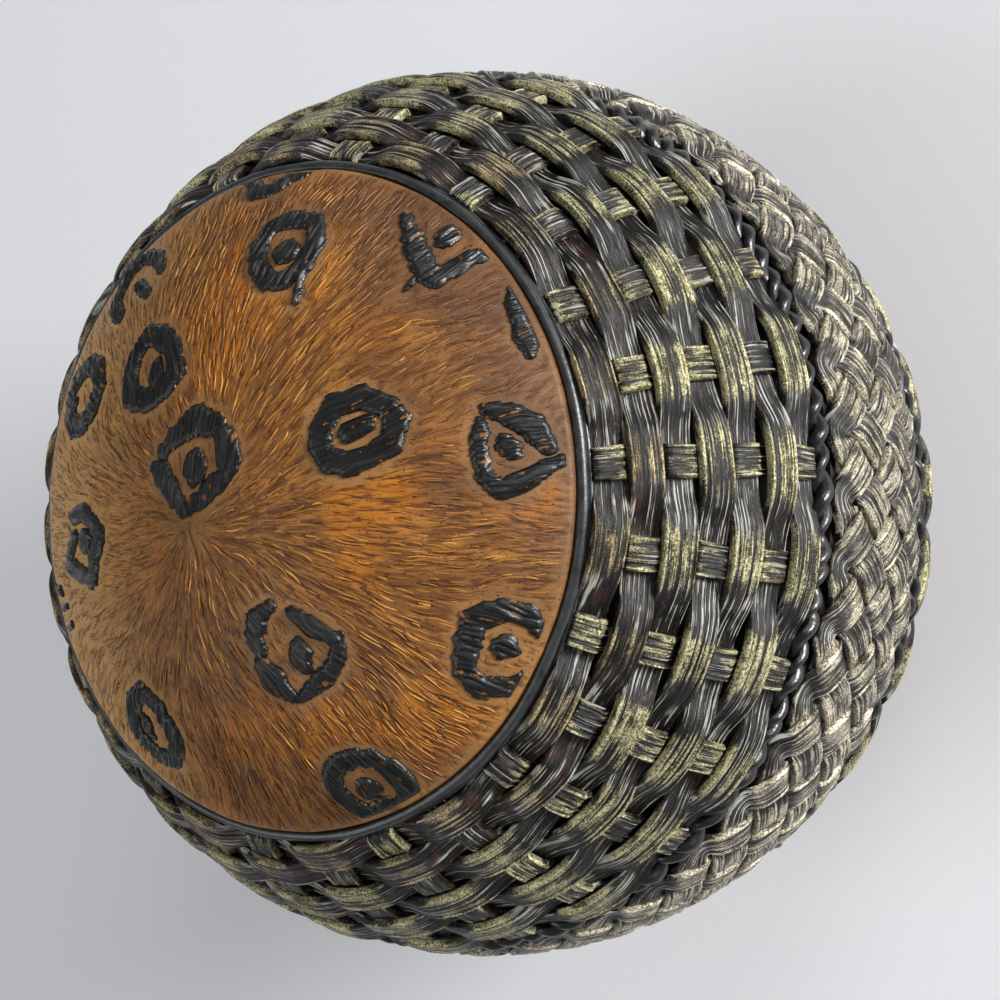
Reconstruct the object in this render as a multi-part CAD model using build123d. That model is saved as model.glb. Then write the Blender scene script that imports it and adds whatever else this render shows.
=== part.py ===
from build123d import *
import os
from math import asin, cos, pi, radians, sin, tanh

# A display ball: a hollow core in two halves, covered by two hide caps, two bands of
# woven splints, two twisted cords and a flat plait round the middle.
# Origin at the ball's centre, +Z through the pole of the front hide.
# "Polar" angles are measured from +Z and "azimuths" from +X about +Z, both in degrees.

# Ball and core, in millimetres
BALL_RADIUS = 50.0  # the crest of the proudest weaver
CORE_RADIUS = 47.1
CORE_INNER_RADIUS = 43.5
BELT_RADIUS = 48.1  # the raised belt of the core that carries the plait
BELT_EDGE = 78.2  # polar angle where the belt begins
SPIGOT_RADIUS = 45.2
SPIGOT_LENGTH = 3.0
CLEARANCE = 0.05

# Hide caps and their edging cord
HIDE_RADIUS = 49.3
HIDE_EDGE = 42.9
LIP_RADIUS = 47.95  # a thin lip of the hide lies under the edging cord
LIP_EDGE = 44.5
RIM_CORD_RADIUS = 0.7
RIM_CORD_POLAR = 43.8
HIDE_EDGE_ROUND = 0.5

# Raised spots of the hide
SPOT_HEIGHT = 0.5
SPOT_STROKE = 2.4
SPOT_SECTOR = 30.0  # length of the wedge that cuts a gap in a ring
SPOT_SHARE = 0.75  # of its painted size that a ring's middle patch is raised over
SPOT_RIM_GAP = 0.8  # degrees between the spots and the edge of the hide
SPOT_CUT_DEPTH = 4.0  # length of the prism that is cut to the hide's curve

# Weave
STAKE_COUNT = 28
STAKE_AZIMUTH = -86.0  # of the first stake, which shows over the odd weavers
STAKE_WIDTH = 3.3
STAKE_THICKNESS = 0.85
STAKE_START = 44.75
STAKE_END = 73.9
WEAVER_COUNT = 7
FIRST_WEAVER = 46.7
WEAVER_PITCH = 4.25
WEAVER_WIDTH = 3.2
WEAVER_THICKNESS = 0.85
WEAVE_LIFT = 1.0  # how far a weaver rises over a stake and dips under the next
WEAVE_FLATNESS = 1.5
WEAVE_RADIUS = BALL_RADIUS - WEAVE_LIFT - WEAVER_THICKNESS / 2
POINTS_PER_STAKE = 6

# Twisted cord beside the plait
ROPE_POLAR = 75.55
ROPE_RADIUS = 1.2
ROPE_TWISTS = 54
PLY_RADIUS = 0.56
PLY_OFFSET = ROPE_RADIUS / 2
PLY_SIDES = 5
POINTS_PER_TWIST = 6
ROPE_CENTRE = CORE_RADIUS + CLEARANCE + ROPE_RADIUS

# Plait round the middle
STRAND_COUNT = 6
ZIGZAGS = 7.5  # of one strand in a lap of the ball
PLAIT_AZIMUTH = -86.9
PLAIT_JOIN = 90.0  # azimuth where the strands' ends meet
PLAIT_STEEPNESS = 8.1
PLAIT_SHARPNESS = 0.97  # 1 would give the turns sharp corners
PLAIT_RADIUS = 48.9
PLAIT_LIFT = 0.42
PLAIT_FLATNESS = 2.0
PLAIT_TURN_BLEND = 5.0
PLAIT_WIDTH = 3.2
PLAIT_THICKNESS = 0.6
POINTS_PER_CROSSING = 5

# (polar, azimuth, long radius, short radius, direction of the long axis, gap direction, gap angle,
# spot radius); directions are turned from the line that leads away from the pole
FRONT_SPOTS = [
    (38.6, 2.0, 5.2, 3.2, 90, 0, 0, 0.0),
    (29.0, -12.0, 5.4, 4.6, 0, 0, 0, 1.7),
    (37.0, -40.0, 4.8, 4.2, 0, -30, 110, 1.6),
    (39.8, -61.0, 4.8, 1.6, 90, 0, 0, 0.0),
    (35.5, 37.0, 5.2, 4.2, 90, 0, 60, 1.6),
    (31.0, 63.0, 6.0, 5.0, 90, 0, 0, 1.5),
    (19.0, 35.0, 5.0, 4.8, 0, 0, 0, 1.5),
    (4.7, 29.0, 5.9, 5.4, 0, 0, 0, 1.7),
    (20.0, -71.0, 5.0, 4.4, 0, 0, 0, 1.5),
    (36.0, -83.0, 5.0, 4.4, 90, 0, 0, 1.4),
    (25.0, 102.0, 5.2, 4.2, 0, 0, 0, 1.5),
    (32.7, 149.0, 5.4, 4.6, 0, 0, 0, 1.5),
    (20.7, -150.0, 5.6, 5.0, 0, 150, 40, 1.8),
    (37.6, -119.0, 4.9, 4.5, 0, 0, 70, 1.6),
    (36.8, -156.6, 5.0, 4.6, 0, 0, 0, 1.6),
    (37.0, 111.0, 4.2, 2.6, 90, 0, 0, 0.0),
]
BACK_RING_SPOTS = 10
BACK_RING_POLAR = 34.0
BACK_SPOTS = [
    (16.0, 20.0, 5.4, 4.8, 0, 0, 0, 1.6),
    (17.5, 140.0, 5.2, 4.4, 30, 120, 50, 1.5),
    (16.5, 262.0, 5.6, 4.8, 0, 0, 0, 1.6),
]
for k in range(BACK_RING_SPOTS):
    azimuth = 360 / BACK_RING_SPOTS * k + 9
    polar = BACK_RING_POLAR + 2.5 * (k % 2)
    gap_angle = 60 if k % 3 == 1 else 0
    BACK_SPOTS.append((polar, azimuth, 5.2, 4.4, 30 * k, 45 * k, gap_angle, 1.5))


def polar_point(radius, polar):
    """A point of the half plane (distance from the axis, height)."""
    return (radius * sin(radians(polar)), radius * cos(radians(polar)))


def directions(polar, azimuth):
    """Unit vectors outwards and away from the pole."""
    p, a = radians(polar), radians(azimuth)
    out = Vector(sin(p) * cos(a), sin(p) * sin(a), cos(p))
    down = Vector(cos(p) * cos(a), cos(p) * sin(a), -sin(p))
    return out, down


def arc(radius, start, end):
    """An arc about the centre between two polar angles."""
    points = [polar_point(radius, angle) for angle in (start, (start + end) / 2, end)]
    return ThreePointArc(*points)


def turned(edges):
    """The solid that a closed outline in the half plane makes when turned about Z."""
    return revolve(Plane.XZ * make_face(edges), Axis.Z)


def closed_by(lines):
    """Straight edges through a list of half-plane points."""
    return [Line(a, b) for a, b in zip(lines, lines[1:])]


def smooth_square(wave, flatness):
    """A wave between -1 and 1 with its crests flattened."""
    return tanh(flatness * wave) / tanh(flatness)


# Corners of a flat section: outer or inner face, and side
SECTION = [(1, -1), (1, 1), (-1, 1), (-1, -1)]


def ribbon(corners, closed):
    """A solid whose section's corners follow the given rows of points."""
    steps = len(corners[0]) - (0 if closed else 1)
    places = [k / steps for k in range(steps + 1)]  # even places keep the sides square to the path
    edges = [Edge.make_spline(row, periodic=closed, parameters=places) for row in corners]
    sides = [Face.make_surface_from_curves(a, b) for a, b in zip(edges, edges[1:] + edges[:1])]
    if not closed:
        for end in (0, -1):
            ring = [row[end] for row in corners]
            sides.append(Face(Wire.make_polygon(ring, close=True)))
    return Solid(Shell(sides))


# ---------------------------------------------------------------- core
def core_outline():
    """Outer line of the front half, from its pole to the seam."""
    return (
        [arc(CORE_RADIUS, 0, BELT_EDGE)]
        + closed_by([polar_point(CORE_RADIUS, BELT_EDGE), polar_point(BELT_RADIUS, BELT_EDGE)])
        + [arc(BELT_RADIUS, BELT_EDGE, 90)]
    )


def core_front_half():
    """The front shell with the spigot that centres it in the back one."""
    spigot = closed_by(
        [
            (BELT_RADIUS, 0),
            (SPIGOT_RADIUS, 0),
            (SPIGOT_RADIUS, -SPIGOT_LENGTH),
            (CORE_INNER_RADIUS, -SPIGOT_LENGTH),
            (CORE_INNER_RADIUS, 0),
        ]
    )
    axis = closed_by([(0, CORE_INNER_RADIUS), (0, CORE_RADIUS)])
    return turned(core_outline() + spigot + [arc(CORE_INNER_RADIUS, 90, 0)] + axis)


def core_back_half():
    """The back shell with the socket that the spigot enters."""
    socket_radius = SPIGOT_RADIUS + CLEARANCE
    socket_depth = SPIGOT_LENGTH + CLEARANCE
    inner_start = (CORE_INNER_RADIUS**2 - socket_depth**2) ** 0.5
    start_angle = 90 - asin(socket_depth / CORE_INNER_RADIUS) * 180 / pi
    socket = closed_by(
        [(BELT_RADIUS, 0), (socket_radius, 0), (socket_radius, socket_depth), (inner_start, socket_depth)]
    )
    axis = closed_by([(0, CORE_INNER_RADIUS), (0, CORE_RADIUS)])
    half = turned(core_outline() + socket + [arc(CORE_INNER_RADIUS, start_angle, 0)] + axis)
    return mirror(half, Plane.XY)


# ---------------------------------------------------------------- hides
def hide_cap():
    """A hide with a thin lip that lies under its edging cord."""
    inner = CORE_RADIUS + CLEARANCE
    step = closed_by(
        [
            polar_point(HIDE_RADIUS, HIDE_EDGE),
            polar_point(LIP_RADIUS, HIDE_EDGE),
        ]
    )
    lip_end = closed_by([polar_point(LIP_RADIUS, LIP_EDGE), polar_point(inner, LIP_EDGE)])
    outline = (
        [arc(HIDE_RADIUS, 0, HIDE_EDGE)]
        + step
        + [arc(LIP_RADIUS, HIDE_EDGE, LIP_EDGE)]
        + lip_end
        + [arc(inner, LIP_EDGE, 0)]
        + closed_by([(0, inner), (0, HIDE_RADIUS)])
    )
    cap = turned(outline)
    distance, height = polar_point(HIDE_RADIUS, HIDE_EDGE)
    rim = cap.edges().filter_by(GeomType.CIRCLE).sort_by_distance((distance, 0, height))[0]
    return fillet(rim, HIDE_EDGE_ROUND)


def rim_cord():
    """The cord that covers the edge of a hide."""
    centre_radius = LIP_RADIUS + CLEARANCE + RIM_CORD_RADIUS
    distance, height = polar_point(centre_radius, RIM_CORD_POLAR)
    return Pos(0, 0, height) * Torus(distance, RIM_CORD_RADIUS)


def spot(shell, polar, azimuth, long_radius, short_radius, turn, gap_direction, gap_angle, centre_radius):
    """A raised ring, or a solid patch where it has no centre spot, moulded to the hide."""
    out, down = directions(polar, azimuth)
    plane = Plane(origin=out * (HIDE_RADIUS - SPOT_CUT_DEPTH / 2), x_dir=down, z_dir=out)
    shape = Rot(0, 0, turn) * Ellipse(long_radius, short_radius)
    if centre_radius:
        shape -= Rot(0, 0, turn) * Ellipse(long_radius - SPOT_STROKE, short_radius - SPOT_STROKE)
    if gap_angle:
        half = radians(gap_angle / 2)
        tip = [(SPOT_SECTOR * cos(half), side * SPOT_SECTOR * sin(half)) for side in (1, -1)]
        shape -= Rot(0, 0, gap_direction) * make_face(Polyline((0, 0), *tip, close=True))
    if centre_radius:
        shape += Circle(centre_radius * SPOT_SHARE)
    return extrude(plane * shape, SPOT_CUT_DEPTH) & shell


def spot_shell():
    """The layer over the hide that every spot lies in."""
    inner, outer = HIDE_RADIUS + CLEARANCE / 2, HIDE_RADIUS + SPOT_HEIGHT
    edge = HIDE_EDGE - SPOT_RIM_GAP
    return turned(
        [arc(outer, 0, edge)]
        + closed_by([polar_point(outer, edge), polar_point(inner, edge)])
        + [arc(inner, edge, 0)]
        + closed_by([(0, inner), (0, outer)])
    )


# ---------------------------------------------------------------- weave
def weaver(row):
    """A flat splint round the ball, over one stake and under the next."""
    polar = FIRST_WEAVER + WEAVER_PITCH * (row - 1)
    samples = STAKE_COUNT * POINTS_PER_STAKE
    corners = [[], [], [], []]
    for k in range(samples):
        azimuth = STAKE_AZIMUTH + 360 * k / samples
        wave = cos(pi * k / POINTS_PER_STAKE) * (-1) ** row
        radius = WEAVE_RADIUS + WEAVE_LIFT * smooth_square(wave, WEAVE_FLATNESS)
        out, down = directions(polar, azimuth)
        for corner, (rise, side) in zip(corners, SECTION):
            corner.append(
                out * (radius + rise * WEAVER_THICKNESS / 2) + down * (side * WEAVER_WIDTH / 2)
            )
    return ribbon(corners, closed=True)


def stakes(first):
    """Every second stake, starting with the given one."""
    inner = WEAVE_RADIUS - STAKE_THICKNESS / 2
    outer = WEAVE_RADIUS + STAKE_THICKNESS / 2
    outline = (
        [arc(outer, STAKE_START, STAKE_END)]
        + closed_by([polar_point(outer, STAKE_END), polar_point(inner, STAKE_END)])
        + [arc(inner, STAKE_END, STAKE_START)]
        + closed_by([polar_point(inner, STAKE_START), polar_point(outer, STAKE_START)])
    )
    stake = extrude(Plane.XZ * make_face(outline), STAKE_WIDTH / 2, both=True)
    spacing = 360 / STAKE_COUNT
    return [Rot(0, 0, STAKE_AZIMUTH + spacing * k) * stake for k in range(first, STAKE_COUNT, 2)]


# ---------------------------------------------------------------- twisted cord
def rope_ply(ply):
    """One ply of the two that twist round each other along the cord."""
    samples = ROPE_TWISTS * POINTS_PER_TWIST
    corners = [[] for _ in range(PLY_SIDES)]
    for k in range(samples):
        out, down = directions(ROPE_POLAR, 360 * k / samples)
        twist = 2 * pi * k / POINTS_PER_TWIST + pi * ply
        centre = out * (ROPE_CENTRE + PLY_OFFSET * cos(twist)) + down * (PLY_OFFSET * sin(twist))
        for side, corner in enumerate(corners):
            angle = twist + 2 * pi * side / PLY_SIDES
            corner.append(centre + out * (PLY_RADIUS * cos(angle)) + down * (PLY_RADIUS * sin(angle)))
    return ribbon(corners, closed=True)


# ---------------------------------------------------------------- plait
def plait_phase(strand, azimuth):
    """Where a strand is in its zigzag."""
    return radians(ZIGZAGS * (azimuth - PLAIT_AZIMUTH)) - 2 * pi * strand / STRAND_COUNT


def plait_polar(phase):
    """Polar angle of a strand's middle line."""
    return 90 - PLAIT_STEEPNESS * asin(PLAIT_SHARPNESS * sin(phase))


def plait_out(strand, azimuth):
    """Outward direction at a strand's middle line."""
    return directions(plait_polar(plait_phase(strand, azimuth)), azimuth)[0]


def plait_strand(strand):
    """A flat strand that zigzags once round the ball, over and under the other five."""
    samples = round(ZIGZAGS * 2 * STRAND_COUNT * POINTS_PER_CROSSING)
    step = 360 / samples
    corners = [[], [], [], []]
    for k in range(samples + 1):
        azimuth = PLAIT_JOIN + step * k
        phase = plait_phase(strand, azimuth)
        wave = smooth_square(cos(STRAND_COUNT * phase), PLAIT_FLATNESS)
        lift = -PLAIT_LIFT * wave * tanh(PLAIT_TURN_BLEND * cos(phase))
        out = plait_out(strand, azimuth)
        ahead = plait_out(strand, azimuth + step / 4) - plait_out(strand, azimuth - step / 4)
        across = out.cross(ahead).normalized()
        for corner, (rise, side) in zip(corners, SECTION):
            radius = PLAIT_RADIUS + lift + rise * PLAIT_THICKNESS / 2
            corner.append(out * radius + across * (side * PLAIT_WIDTH / 2))
    return ribbon(corners, closed=False)


def solids(shapes):
    """One compound of all the solids of several shapes."""
    return Compound(children=[s for shape in shapes for s in shape.solids()])


def build():
    """Every node by name."""
    shell = spot_shell()
    nodes = {
        "core_front_half": core_front_half(),
        "core_back_half": core_back_half(),
        "spots_front": solids(spot(shell, *size) for size in FRONT_SPOTS),
        "spots_back": mirror(solids(spot(shell, *size) for size in BACK_SPOTS), Plane.XY),
    }
    paired = {"hide_{}": hide_cap(), "rim_cord_{}": rim_cord()}
    paired |= {"stakes_{}_odd": solids(stakes(0)), "stakes_{}_even": solids(stakes(1))}
    paired |= {"weaver_{}_" + str(row): weaver(row) for row in range(1, WEAVER_COUNT + 1)}
    paired |= {"rope_{}_strand_" + str(ply + 1): rope_ply(ply) for ply in range(2)}
    for name, shape in paired.items():
        nodes[name.format("front")] = shape
        nodes[name.format("back")] = mirror(shape, Plane.XY)
    nodes |= {f"plait_strand_{k + 1}": plait_strand(k) for k in range(STRAND_COUNT)}
    return nodes


os.makedirs("parts", exist_ok=True)
for name, shape in build().items():
    export_step(shape, f"parts/{name}.step")
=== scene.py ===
"""A display ball with a spotted hide at each pole and a woven, plaited middle.

A place on the ball is a polar angle from +Z and an azimuth round +Z, in degrees, with a
radius in millimetres. Pieces of the back half are the front ones mirrored in Z = 0.
"""

import bpy
import numpy as np
from mathutils import Matrix, Vector


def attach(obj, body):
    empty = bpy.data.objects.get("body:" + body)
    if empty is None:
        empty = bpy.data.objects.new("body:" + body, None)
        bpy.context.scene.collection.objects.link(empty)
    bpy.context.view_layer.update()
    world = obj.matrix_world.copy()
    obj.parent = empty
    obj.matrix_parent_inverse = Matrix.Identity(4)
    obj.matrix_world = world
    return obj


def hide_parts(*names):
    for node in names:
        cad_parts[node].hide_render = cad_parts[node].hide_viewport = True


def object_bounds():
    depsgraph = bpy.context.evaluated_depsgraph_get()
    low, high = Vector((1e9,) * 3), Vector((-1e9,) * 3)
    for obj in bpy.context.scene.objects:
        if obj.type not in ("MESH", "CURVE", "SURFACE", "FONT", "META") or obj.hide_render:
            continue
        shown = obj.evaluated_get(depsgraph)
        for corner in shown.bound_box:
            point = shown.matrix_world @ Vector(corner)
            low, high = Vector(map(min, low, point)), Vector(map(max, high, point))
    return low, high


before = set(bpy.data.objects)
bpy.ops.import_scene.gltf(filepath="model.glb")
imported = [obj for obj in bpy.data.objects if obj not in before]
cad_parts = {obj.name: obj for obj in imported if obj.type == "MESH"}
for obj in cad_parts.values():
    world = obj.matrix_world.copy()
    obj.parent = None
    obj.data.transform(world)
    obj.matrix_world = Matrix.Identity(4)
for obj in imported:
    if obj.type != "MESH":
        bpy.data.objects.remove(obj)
cad_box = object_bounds()

MM = 0.001
SEED = 7

# -------- sizes of the object, mm and degrees
HIDE_RADIUS = 49.3
HIDE_EDGE = 42.9
HIDE_UNDERSIDE = 47.25
LIP_RADIUS = 47.95
MM_PER_DEGREE = np.radians(HIDE_RADIUS)  # along the hide
HIDE_EDGE_MM = HIDE_EDGE * MM_PER_DEGREE
HIDE_CELLS = 288  # along each side of the grid that is stretched to the round hide
WEAVE_RADIUS = 48.575
WEAVE_LIFT = 1.0  # how far a weaver rises over a stake
WEAVE_DIP = 0.6  # and how far it dips under the next
WEAVE_FLATNESS = 1.5
SPLINT_THICKNESS = 0.85
STAKE_COUNT = 28
STAKE_AZIMUTH = -86.0
STAKE_START = 44.75
STAKE_END = 73.9
STAKE_WIDTH = 3.35
STAKE_LIFT = 0.42
STAKE_STEPS = 110
WEAVER_COUNT = 7
FIRST_WEAVER = 46.7
WEAVER_PITCH = 4.25
WEAVER_WIDTH = 3.66
WEAVERS_NEAR_HIDE = 2  # browner than the rest
ROPE_POLAR = 75.55
ROPE_CENTRE = 48.35
ROPE_TWISTS = 54
STEPS_PER_TWIST = 22
PLY_RADIUS = 0.82
PLY_SIDES = 12
RIM_CORDS = ((43.72, 48.72, 0.62), (44.62, 48.40, 0.34))  # polar angle, distance from centre and radius
RIM_CORD_STEPS = 900
RIM_CORD_SIDES = 20
STRAND_COUNT = 6
STRAND_STEPS = 1120
ZIGZAGS = 7.5
PLAIT_AZIMUTH = -86.9
PLAIT_JOIN = 90.0
PLAIT_STEEPNESS = 8.1
PLAIT_SHARPNESS = 0.97
PLAIT_RADIUS = 48.85
PLAIT_LIFT = 0.50
PLAIT_WIDTH = 4.25
PLAIT_THICKNESS = 0.75
SIDES = {"front": 1, "back": -1}
# On a hide a place is (x, y) in millimetres along the surface from the pole: x towards -Y, y towards +X.
WHORL = {"front": (-2.3, -3.0), "back": (2.0, 1.0)}  # where the hair of each hide starts from


# -------- small tools
def directions(polar, azimuth):
    """Unit vectors outwards and away from the pole."""
    p, a = np.radians(polar), np.radians(azimuth)
    p, a = np.broadcast_arrays(p, a)
    out = np.stack([np.sin(p) * np.cos(a), np.sin(p) * np.sin(a), np.cos(p)], -1)
    down = np.stack([np.cos(p) * np.cos(a), np.cos(p) * np.sin(a), -np.sin(p)], -1)
    return out, down


def smoothstep(low, high, x):
    t = np.clip((x - low) / (high - low), 0, 1)
    return t * t * (3 - 2 * t)


def drift(rng, places, knots):
    """A smooth random line between -1 and 1 that repeats after one lap (places run 0 to 1)."""
    values = rng.uniform(-1, 1, knots)
    x = places * knots
    k = np.floor(x).astype(int)
    t = smoothstep(0, 1, x - k)
    return values[k % knots] * (1 - t) + values[(k + 1) % knots] * t


def draws_for(side_name, *numbers):
    """Random draws of one piece, the same in every run."""
    return np.random.default_rng([SEED, *numbers, SIDES[side_name] + 1])


class Cloud:
    """Smooth random values between -1 and 1 over the plane."""

    def __init__(self, seed, size):
        self.values = np.random.default_rng(seed).uniform(-1, 1, (64, 64))
        self.size = size

    def __call__(self, x, y):
        x, y = x / self.size + 200, y / self.size + 200
        i, j = np.floor(x).astype(int), np.floor(y).astype(int)
        s, t = smoothstep(0, 1, x - i), smoothstep(0, 1, y - j)
        v = self.values
        low = v[i % 64, j % 64] * (1 - s) + v[(i + 1) % 64, j % 64] * s
        high = v[i % 64, (j + 1) % 64] * (1 - s) + v[(i + 1) % 64, (j + 1) % 64] * s
        return low * (1 - t) + high * t


def grid_quads(rows, columns, closed_rows=False, closed_columns=False):
    """Quads over a grid of points numbered row by row."""
    i = np.arange(rows if closed_rows else rows - 1)[:, None]
    j = np.arange(columns if closed_columns else columns - 1)[None, :]
    i2, j2 = (i + 1) % rows, (j + 1) % columns
    quads = np.stack([i * columns + j, i * columns + j2, i2 * columns + j2, i2 * columns + j], -1)
    return quads.reshape(-1, 4)


def add_piece(node, ending, points, faces, material, layers, side_name="front"):
    """A mesh piece for one CAD node, from points in millimetres, lists of faces and point layers."""
    name, side = node + ending, SIDES[side_name]
    points = np.array(points, float).reshape(-1, 3) * (1, 1, side) * MM
    corners = np.concatenate([(f[:, ::side]).ravel() for f in faces])
    sizes = np.concatenate([np.full(len(f), f.shape[1]) for f in faces])
    starts = np.concatenate([[0], np.cumsum(sizes)[:-1]])
    mesh = bpy.data.meshes.new(name)
    mesh.vertices.add(len(points))
    mesh.vertices.foreach_set("co", points.ravel().astype(np.float32))
    mesh.loops.add(len(corners))
    mesh.loops.foreach_set("vertex_index", corners.astype(np.int32))
    mesh.polygons.add(len(sizes))
    mesh.polygons.foreach_set("loop_start", starts.astype(np.int32))
    mesh.update(calc_edges=True)
    mesh.shade_smooth()
    for layer, values in layers.items():
        attribute = mesh.attributes.new(layer, "FLOAT", "POINT")
        attribute.data.foreach_set("value", np.array(values, np.float32).ravel())
    mesh.materials.append(material)
    piece = bpy.data.objects.new(name, mesh)
    bpy.context.scene.collection.objects.link(piece)
    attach(piece, "root")
    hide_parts(node)


# -------- materials
def colour(red, green, blue):
    """A display colour (0 to 255) as the linear values that a shader takes."""
    v = np.array([red, green, blue]) / 255
    linear = np.where(v <= 0.04045, v / 12.92, ((v + 0.055) / 1.055) ** 2.4)
    return (*linear.tolist(), 1.0)


class Shader:
    """A material whose node tree is built call by call."""

    def __init__(self, name):
        self.material = bpy.data.materials.new(name)
        self.material.use_nodes = True
        self.tree = self.material.node_tree
        self.surface = self.tree.nodes["Principled BSDF"]

    def feed(self, socket, value):
        if isinstance(value, bpy.types.NodeSocket):
            self.tree.links.new(value, socket)
        else:
            socket.default_value = value

    def node(self, kind, sockets, **settings):
        made = self.tree.nodes.new("ShaderNode" + kind)
        for key, value in settings.items():
            setattr(made, key, value)
        for key, value in sockets.items():
            self.feed(made.inputs[key], value)
        return made

    def layer(self, name):
        return self.node("Attribute", {}, attribute_name=name).outputs["Fac"]

    def place(self):
        return self.node("TexCoord", {}).outputs["Object"]

    def stretched(self, across, along):
        """Coordinates for noise drawn out along a strip, with its grain size in millimetres."""
        x, y = self.times(self.layer("across"), 1 / across), self.times(self.layer("along"), 1 / along)
        return self.node("CombineXYZ", {"X": x, "Y": y}).outputs[0]

    def flow(self, whorl, across, along):
        """Coordinates for noise drawn out along the hair, which runs away from the whorl."""
        axes = self.node("SeparateXYZ", {"Vector": self.place()}).outputs
        x = self.sum((axes[1], -1 / MM), (1.0, -whorl[0]))
        y = self.sum((axes[0], 1 / MM), (1.0, -whorl[1]))
        angle = self.math("ARCTAN2", y, x)
        squares = [(self.math("POWER", value, 2.0), 1.0) for value in (x, y)]
        reach = self.math("LOGARITHM", self.math("SQRT", self.sum(*squares)), np.e)
        sockets = {"X": self.times(angle, across), "Y": self.times(reach, along)}
        return self.node("CombineXYZ", sockets).outputs[0]

    def painted_light_side(self):
        """1 on the hide's +Y side, where the paint is lightened as painted light and sheen."""
        return self.step(self.node("SeparateXYZ", {"Vector": self.place()}).outputs[1], 3 * MM, 26 * MM)

    def noise(self, size, detail=2.0, vector=None, rough=0.55, unit=MM):
        """Noise with features of about the given size in millimetres."""
        sockets = {"Vector": vector or self.place(), "Detail": detail, "Roughness": rough}
        sockets["Scale"] = 1 / (size * unit)
        return self.node("TexNoise", sockets).outputs["Fac"]

    def math(self, operation, a, b=0.0, clamp=False):
        return self.node("Math", {0: a, 1: b}, operation=operation, use_clamp=clamp).outputs[0]

    def times(self, a, b):
        return self.math("MULTIPLY", a, b)

    def sum(self, *terms):
        """Weighted terms added up: (value, weight), ..."""
        total = self.times(*terms[0])
        for value, weight in terms[1:]:
            total = self.node("Math", {0: value, 1: weight, 2: total}, operation="MULTIPLY_ADD").outputs[0]
        return total

    def step(self, value, low, high):
        """0 below low and 1 above high, smooth between."""
        sockets = {"Value": value, "From Min": low, "From Max": high}
        return self.node("MapRange", sockets, interpolation_type="SMOOTHSTEP").outputs[0]

    def between(self, value, low, high):
        """A value from 0 to 1 spread over low to high."""
        return self.node("MapRange", {"Value": value, "To Min": low, "To Max": high}).outputs[0]

    def mix(self, factor, a, b):
        made = self.node("Mix", {}, data_type="RGBA")
        for socket, value in zip((0, 6, 7), (factor, a, b)):
            self.feed(made.inputs[socket], value)
        return made.outputs[2]

    def bump(self, height, depth):
        sockets = {"Height": height, "Distance": depth * MM, "Strength": 1.0}
        return self.node("Bump", sockets).outputs[0]

    def finish(self, **sockets):
        for key, value in sockets.items():
            self.feed(self.surface.inputs[key.replace("_", " ")], value)
        return self.material


def splint_material(name, brown, gold_level, dull=(70, 65, 40), pale=(206, 199, 154)):
    """Dark lacquered splint with old gold rubbed on its crests, edges and ridges.

    The gold shows where crests, edges and noise add up to more than gold_level, mottled
    from dull to pale, and silver grey threads of painted sheen run along the bare wood.
    """
    s = Shader(name)
    crest, edge, groove = s.layer("crest"), s.layer("edge"), s.layer("groove")
    fibre = s.noise(1.0, 3.0, s.stretched(0.15, 3.2), rough=0.55, unit=1.0)
    thread = s.noise(1.0, 2.0, s.stretched(0.20, 7.0), rough=0.5, unit=1.0)
    speck = s.noise(0.10, 3.0, rough=0.8)
    patch = s.noise(2.4, 2.0)
    level = s.sum((crest, 0.62), (edge, 0.20), (groove, -0.55), (patch, 0.85), (speck, 1.30), (fibre, 0.85))
    gold = s.step(level, gold_level, gold_level + 0.26)
    tint = s.sum((s.noise(0.22, 3.0, rough=0.7), 0.75), (fibre, 0.25))
    paint = s.mix(s.step(tint, 0.40, 0.60), colour(*dull), colour(*pale))
    deep = s.mix(s.step(s.noise(1.6, 3.0), 0.42, 0.68), colour(9, 8, 7), colour(*brown))
    # Painted sheen: silver grey threads lightened into the bare wood stand in for glints of the gloss.
    silver = s.step(s.sum((thread, 0.8), (fibre, 0.3), (speck, 0.1), (patch, 0.35)), 0.83, 0.89)
    deep = s.mix(silver, deep, colour(168, 167, 158))
    dust = s.step(s.noise(0.17, 1.0), 0.69, 0.75)
    deep = s.mix(s.times(dust, 0.8), deep, colour(128, 118, 92))
    wood = s.mix(s.step(s.sum((groove, 1.0), (fibre, 0.3)), 0.25, 0.75), deep, colour(6, 5, 5))
    relief = s.sum((speck, 0.20), (fibre, 0.8), (thread, 1.2), (gold, 0.30))
    return s.finish(
        Base_Color=s.mix(gold, wood, paint),
        Roughness=s.sum(
            (gold, 0.14), (fibre, 0.50), (thread, 0.30), (speck, 0.15), (groove, 0.20), (1.0, -0.22)
        ),
        Metallic=s.times(gold, 0.35),
        Specular_IOR_Level=0.42,
        Normal=s.bump(relief, 0.17),
    )


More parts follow.
